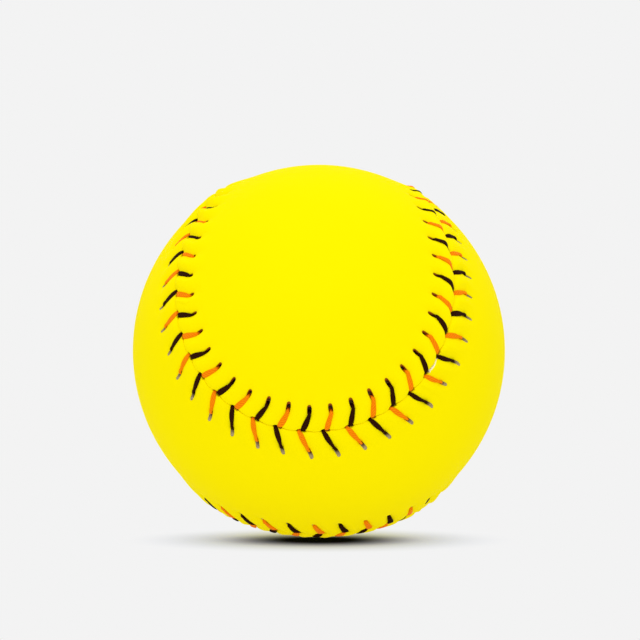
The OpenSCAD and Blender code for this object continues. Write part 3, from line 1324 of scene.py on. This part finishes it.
@dataclass(frozen=True)
class CoverFinish:
    """Smooth optic yellow composite with a fine grain, with painted shade down in the slit and at the tops
    of the stitch holes.
    """

    body: Colour = linear(255, 238, 0)
    warm: Colour = linear(255, 236, 0)
    # painted shade: a darker yellow for the cover where it turns down into the slit and the stitch holes
    painted_crease_shade: Colour = linear(240, 205, 0)
    cut_edge: Colour = linear(250, 244, 214)
    mottle: Speckle = Speckle(45, 3)
    mottle_span: Span = (0.35, 0.7)
    warm_span: Span = (0, 0.35)
    crease_span: Span = (0, 0.35)
    cut_span: Span = (0.2, 0.8)
    handling: Speckle = Speckle(900)
    handling_span: Span = (0.3, 0.7)
    roughness_span: Span = (0.53, 0.64)
    grain_scale: float = 2600
    grain_share: float = 0.6
    fine: Speckle = Speckle(1400, 3)
    grain_h: float = 0.012
    shine: float = 0.005

    def material(self) -> bpy.types.Material:
        """Makes the finish.

        Returns:
            The material.
        """
        sheet = NodeSheet("optic_yellow_cover")
        warmth = sheet.spread(sheet.noise(self.mottle), self.mottle_span, self.warm_span)
        tone = sheet.blend(warmth, self.body, self.warm)
        # painted shade: the cover darkens with depth into the slit and the holes
        shade = sheet.blend(sheet.spread(sheet.mark("depth"), self.crease_span), tone, self.painted_crease_shade)
        cut = sheet.spread(sheet.mark("cut_edge"), self.cut_span)
        grain = sheet.texture("ShaderNodeTexVoronoi", Scale=self.grain_scale, feature="SMOOTH_F1")
        fine = sheet.noise(self.fine)
        height = sheet.math("MULTIPLY_ADD", grain.outputs["Distance"], self.grain_share, fine)
        sheet.relief(height, self.grain_h)
        roughness = sheet.spread(sheet.noise(self.handling), self.handling_span, self.roughness_span)
        return sheet.finish(sheet.blend(cut, shade, self.cut_edge), roughness, self.shine)


@dataclass(frozen=True)
class BackingFinish:
    """Felt on the back of the cover, seen in the stitch holes, turning from its pale tone to its deep tone
    further down each hole and flecked with the deep tone.
    """

    name: str
    pale: Colour = linear(192, 176, 136)
    deep: Colour = linear(112, 74, 30)
    deep_span: Span = (0.5, 1.3)
    flecks: Speckle = Speckle(2400, 4)
    fleck_span: Span = (0.4, 0.65)
    fleck_share_span: Span = (0, 0.4)
    felt: Speckle = Speckle(5200, 4)
    felt_h: float = 0.03
    roughness: float = 0.95
    shine: float = 0.1

    def material(self) -> bpy.types.Material:
        """Makes the finish.

        Returns:
            The material.
        """
        sheet = NodeSheet(self.name)
        tone = sheet.blend(sheet.spread(sheet.mark("depth"), self.deep_span), self.pale, self.deep)
        fleck = sheet.spread(sheet.noise(self.flecks), self.fleck_span, self.fleck_share_span)
        sheet.relief(sheet.noise(self.felt), self.felt_h)
        return sheet.finish(sheet.blend(fleck, tone, self.deep), self.roughness, self.shine)


@dataclass(frozen=True)
class ThreadFinish:
    """Flat waxed thread whose fibres run slightly round it."""

    name: str
    body: Colour
    groove: Colour
    roughness: float
    ply_mm: float = 1.6
    lay_turns: float = 2
    plies: int = 2
    fibre: Speckle = Speckle(3200, 3)
    fibre_share: float = 1.2
    ply_share: float = 0.5
    groove_span: Span = (-0.2, 1)
    fibre_h: float = 0.02
    shine: float = 0.03

    def material(self) -> bpy.types.Material:
        """Makes the finish.

        Returns:
            The material.
        """
        sheet = NodeSheet(self.name)
        turns = sheet.math("DIVIDE", sheet.mark("along_mm"), self.ply_mm)
        lay = sheet.math("ADD", sheet.math("MULTIPLY", sheet.mark("around"), self.lay_turns), turns)
        wave = sheet.math("SINE", sheet.math("MULTIPLY", lay, 2 * math.pi * self.plies))
        plies = sheet.math("MULTIPLY", wave, self.ply_share)
        fibres = sheet.math("MULTIPLY_ADD", sheet.noise(self.fibre), self.fibre_share, plies)
        sheet.relief(fibres, self.fibre_h)
        groove = sheet.spread(fibres, self.groove_span, (1, 0))
        return sheet.finish(sheet.blend(groove, self.body, self.groove), self.roughness, self.shine)


@dataclass(frozen=True)
class FoamFinish:
    """Moulded polyurethane with small open pores."""

    body: Colour = linear(236, 226, 202)
    pore: Colour = linear(190, 172, 132)
    pore_scale: float = 900
    pore_span: Span = (0, 0.35)
    lumps: Speckle = Speckle(160, 4)
    lump_h: float = 0.08
    roughness: float = 0.75
    shine: float = 0.3

    def material(self) -> bpy.types.Material:
        """Makes the finish.

        Returns:
            The material.
        """
        sheet = NodeSheet("moulded_foam")
        pores = sheet.texture("ShaderNodeTexVoronoi", Scale=self.pore_scale).outputs["Distance"]
        sheet.relief(sheet.math("ADD", pores, sheet.noise(self.lumps)), self.lump_h)
        share = sheet.spread(pores, self.pore_span, (1, 0))
        return sheet.finish(sheet.blend(share, self.body, self.pore), self.roughness, self.shine)


@dataclass(frozen=True)
class CementFinish:
    """Dried contact cement, brushed on in streaks."""

    thin: Colour = linear(150, 108, 58)
    thick: Colour = linear(84, 52, 26)
    streak_scale: float = 55
    streak_bend: float = 9
    streak_detail: float = 3
    streak_h: float = 0.05
    roughness: float = 0.6
    shine: float = 0.4

    def material(self) -> bpy.types.Material:
        """Makes the finish.

        Returns:
            The material.
        """
        sheet = NodeSheet("dried_cement")
        streaks = sheet.texture("ShaderNodeTexWave", Scale=self.streak_scale, Distortion=self.streak_bend,
                                Detail=self.streak_detail).outputs["Fac"]
        sheet.relief(streaks, self.streak_h)
        return sheet.finish(sheet.blend(streaks, self.thin, self.thick), self.roughness, self.shine)


@dataclass(frozen=True)
class Lamp:
    """A soft square lamp that faces the ball, with its place and side in ball radii."""

    name: str
    spot: tuple[float, float, float]
    side: float
    watts: float

    def light(self, ball_r: float) -> bpy.types.Object:
        """Adds the lamp to the scene.

        Args:
            ball_r: The ball's radius.

        Returns:
            The lamp's object.
        """
        data = bpy.data.lights.new(self.name, "AREA")
        data.shape = "SQUARE"
        data.size = self.side * ball_r * MM
        data.energy = self.watts
        lamp = bpy.data.objects.new(self.name, data)
        lamp.location = Vector(self.spot) * ball_r * MM
        lamp.rotation_euler = (-lamp.location).to_track_quat("-Z", "Y").to_euler()
        bpy.context.scene.collection.objects.link(lamp)
        return lamp


@dataclass
class Studio:
    """A pale floor and background, plain soft lamps and the camera of the photograph."""

    ball_r: float
    elevation: float = 4.0
    distance_in_radii: float = 16.0
    ball_radius_px: float = 186.1
    ball_x_px: float = 318.9
    ball_y_px: float = 350.7
    sensor_mm: float = 36
    clip_end_m: float = 100
    lamps: tuple[Lamp, ...] = (
        Lamp("top_lamp", spot=(0, -3, 22), side=16, watts=2.2),
        Lamp("front_lamp", spot=(0, -30, 6), side=24, watts=2.9),
    )
    background: Colour = linear(243, 243, 243)
    bounce_tone: Colour = (0.93, 0.93, 0.93)
    # painted light: near the ball the floor seen by the camera is tinted blue to cancel the yellow light
    # that the ball throws onto it
    bounce_cancel_tint: Colour = (0.53, 0.6, 1.0)
    # painted shadow: a darker ring round the ball's contact, also tinted blue against the ball's yellow
    # bounce
    painted_ring_shade: Colour = (0.33, 0.375, 1.0)
    # painted shadow: a near black spot on the floor at the ball's contact
    painted_contact_shadow: Colour = (0.004, 0.005, 0.013)
    under_glow_share: float = 0.6
    # the middle of the painted shadow and of the fade to the plain floor, in front of the contact, and how
    # much both are squashed in depth
    shadow_middle: float = 9.3
    shadow_depth_share: float = 0.49
    # where the painted contact shadow and the painted ring fade out, in millimetres
    painted_shadow_span: Span = (8, 30)
    painted_ring_span: Span = (12, 31)
    shadow_span: Span = (8, 52)
    floor_r: float = 6000
    floor_corners: int = 96

    def camera(self) -> bpy.types.Object:
        """Sets the camera so that the ball's middle lands on its pixel of the photograph.

        Returns:
            The camera's object.
        """
        focal_px = self.ball_radius_px * math.sqrt(self.distance_in_radii**2 - 1)
        data = bpy.data.cameras.new("camera")
        data.sensor_width = self.sensor_mm
        data.lens = focal_px / PHOTO_SIDE_PX * self.sensor_mm
        data.clip_end = self.clip_end_m
        camera = bpy.data.objects.new("camera", data)
        bpy.context.scene.collection.objects.link(camera)
        rise = math.radians(self.elevation)
        spot = Vector((0, -math.cos(rise), math.sin(rise))) * (self.distance_in_radii * self.ball_r * MM)
        level = (-spot).to_track_quat("-Z", "Y").to_matrix()
        yaw = Matrix.Rotation(math.atan((self.ball_x_px - PHOTO_SIDE_PX / 2) / focal_px), 3, "Y")
        pitch = Matrix.Rotation(math.atan((self.ball_y_px - PHOTO_SIDE_PX / 2) / focal_px), 3, "X")
        camera.matrix_world = Matrix.Translation(spot) @ (level @ yaw @ pitch).to_4x4()
        bpy.context.scene.camera = camera
        return camera

    def world(self) -> None:
        """Makes the world, as pale as the photograph's background from every side."""
        world = bpy.data.worlds.new("studio")
        bpy.context.scene.world = world
        world.use_nodes = True
        backdrop = world.node_tree.nodes["Background"]
        backdrop.inputs["Color"].default_value = (*self.background, 1)
        backdrop.inputs["Strength"].default_value = 1.0

    def floor_finish(self) -> bpy.types.Material:
        """Makes the floor's material, which is real near the ball, to keep its shadow, and plain beyond.
        Near the ball the camera sees it with a painted contact shadow, a darker painted ring and a painted
        blue tint against the ball's yellow bounce.

        Returns:
            The material.
        """
        sheet = NodeSheet("pale_floor")
        rays = sheet.add("ShaderNodeLightPath").outputs
        seen = sheet.math("MAXIMUM", rays["Is Camera Ray"], rays["Is Glossy Ray"])
        seen = sheet.math("MAXIMUM", seen, rays["Is Transmission Ray"])
        moved = sheet.texture("ShaderNodeMapping", vector_type="TEXTURE",
                              Location=(0, -self.shadow_middle * MM, 0),
                              Scale=(1, self.shadow_depth_share, 1))
        length = sheet.add("ShaderNodeVectorMath", operation="LENGTH")
        sheet.link(moved.outputs[0], length.inputs[0])
        away = length.outputs["Value"]
        # painted shadow: the camera sees a near black spot and a darker ring round the contact
        dark = sheet.spread(away, in_metres(self.painted_shadow_span), (1, 0))
        ring = sheet.spread(away, in_metres(self.painted_ring_span), (1, 0))
        far = sheet.spread(away, in_metres(self.shadow_span))
        # painted light: the camera-seen floor takes the blue tints and the painted contact shadow
        shown = sheet.blend(dark, sheet.blend(ring, self.bounce_cancel_tint, self.painted_ring_shade), self.painted_contact_shadow)
        sheet.finish(sheet.blend(seen, self.bounce_tone, shown), roughness=1.0, shine=0.0)
        mix = sheet.add("ShaderNodeMixShader")
        glow = sheet.add("ShaderNodeEmission", Color=(*self.background, 1), Strength=1.0)
        sheet.link(sheet.blend(seen, self.under_glow_share, far, Blend.NUMBER), mix.inputs[0])
        sheet.link(sheet.shader.outputs[0], mix.inputs[1])
        sheet.link(glow.outputs[0], mix.inputs[2])
        sheet.link(mix.outputs[0], sheet.output.inputs["Surface"])
        return sheet.material

    def floor(self) -> bpy.types.Object:
        """Makes the floor, a large round sheet that the ball lies on.

        Returns:
            The floor's object.
        """
        mesh = bpy.data.meshes.new("floor")
        turns = np.linspace(0, 2 * np.pi, self.floor_corners, endpoint=False)
        rim = [(self.floor_r * MM * math.cos(a), self.floor_r * MM * math.sin(a), 0) for a in turns]
        mesh.from_pydata(rim, [], [tuple(range(len(rim)))])
        mesh.materials.append(self.floor_finish())
        floor = bpy.data.objects.new("floor", mesh)
        floor.location.z = -self.ball_r * MM
        bpy.context.scene.collection.objects.link(floor)
        return floor

    def build(self) -> None:
        """Sets the view, the world, the floor, the lamps and the camera."""
        bpy.context.scene.view_settings.view_transform = "Standard"
        self.world()
        self.floor()
        for lamp in self.lamps:
            lamp.light(self.ball_r)
        self.camera()
        log.info("studio: floor, %d lamps and camera", len(self.lamps))


@dataclass
class Softball:
    """The whole ball: core and cement as packed, with the cover and the threads made here."""

    rest_mount: str = "rest_spot"
    cover_gap: float = 0.35
    thread_run_h: float = 0.74
    # painted shade, partly a wax stain: a browner copy of the felt for the front panel's holes, whose far
    # walls face away from the light
    shaded_wax_backing: BackingFinish = BackingFinish("shaded_wax_stain_backing", linear(176, 108, 30), linear(216, 112, 24))
    grey: BackingFinish = BackingFinish("grey_backing")
    black: ThreadFinish = ThreadFinish(
        "black_wax_thread", body=linear(50, 19, 3), groove=linear(30, 9, 1), roughness=0.6)
    orange: ThreadFinish = ThreadFinish(
        "orange_wax_thread", body=linear(255, 147, 2), groove=linear(238, 98, 0), roughness=0.55)

    def packed_radius(self) -> float:
        """Gives the radius over the smooth cover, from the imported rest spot."""
        spots = {mount["name"]: mount["pos_m"] for mount in frame["record"]["mounts"]}
        return -spots[self.rest_mount][2] / MM

    def packed_sphere(self, node: str) -> float:
        """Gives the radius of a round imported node."""
        low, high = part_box(node)
        return (high[2] - low[2]) / 2 / MM

    def dress_inside(self) -> None:
        """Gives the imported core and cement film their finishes."""
        for node, finish in (("core", FoamFinish()), ("cement_film", CementFinish())):
            data = frame["nodes"][node].data
            data.materials.clear()
            data.materials.append(finish.material())
            log.info("%s: dressed", node)

    def build(self) -> None:
        """Builds and dresses every piece."""
        film_r = self.packed_sphere("cement_film")
        seam = SeamCurve(self.packed_radius())
        plan = StitchPlan(seam)
        relief = CoverRelief(seam, plan)
        self.dress_inside()
        cover = CoverFinish().material()
        # the front panel's backing carries painted shade, partly a wax stain
        panels = ((PanelSide.FRONT, "front_panel", self.shaded_wax_backing), (PanelSide.SIDE, "side_panel", self.grey))
        for side, node, backing in panels:
            shape = CoverPanel(seam, plan, relief, side, seat_r=film_r + self.cover_gap)
            panel = shape.build([cover, backing.material()])
            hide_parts(node)
            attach(panel, BODY)
        for colour, finish in ((ThreadColour.BLACK, self.black), (ThreadColour.ORANGE, self.orange)):
            thread = StitchThread(seam, plan, relief, colour, run_r=film_r + self.thread_run_h / 2)
            piece = thread.build(finish.material())
            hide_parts(f"{colour.name.lower()}_thread")
            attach(piece, BODY)


def main() -> None:
    """Builds the ball and the studio round it."""
    logging.basicConfig(level=logging.INFO, format="%(name)s: %(message)s")
    ball = Softball()
    ball.build()
    Studio(ball_r=ball.packed_radius()).build()


if __name__ == "__main__":
    main()
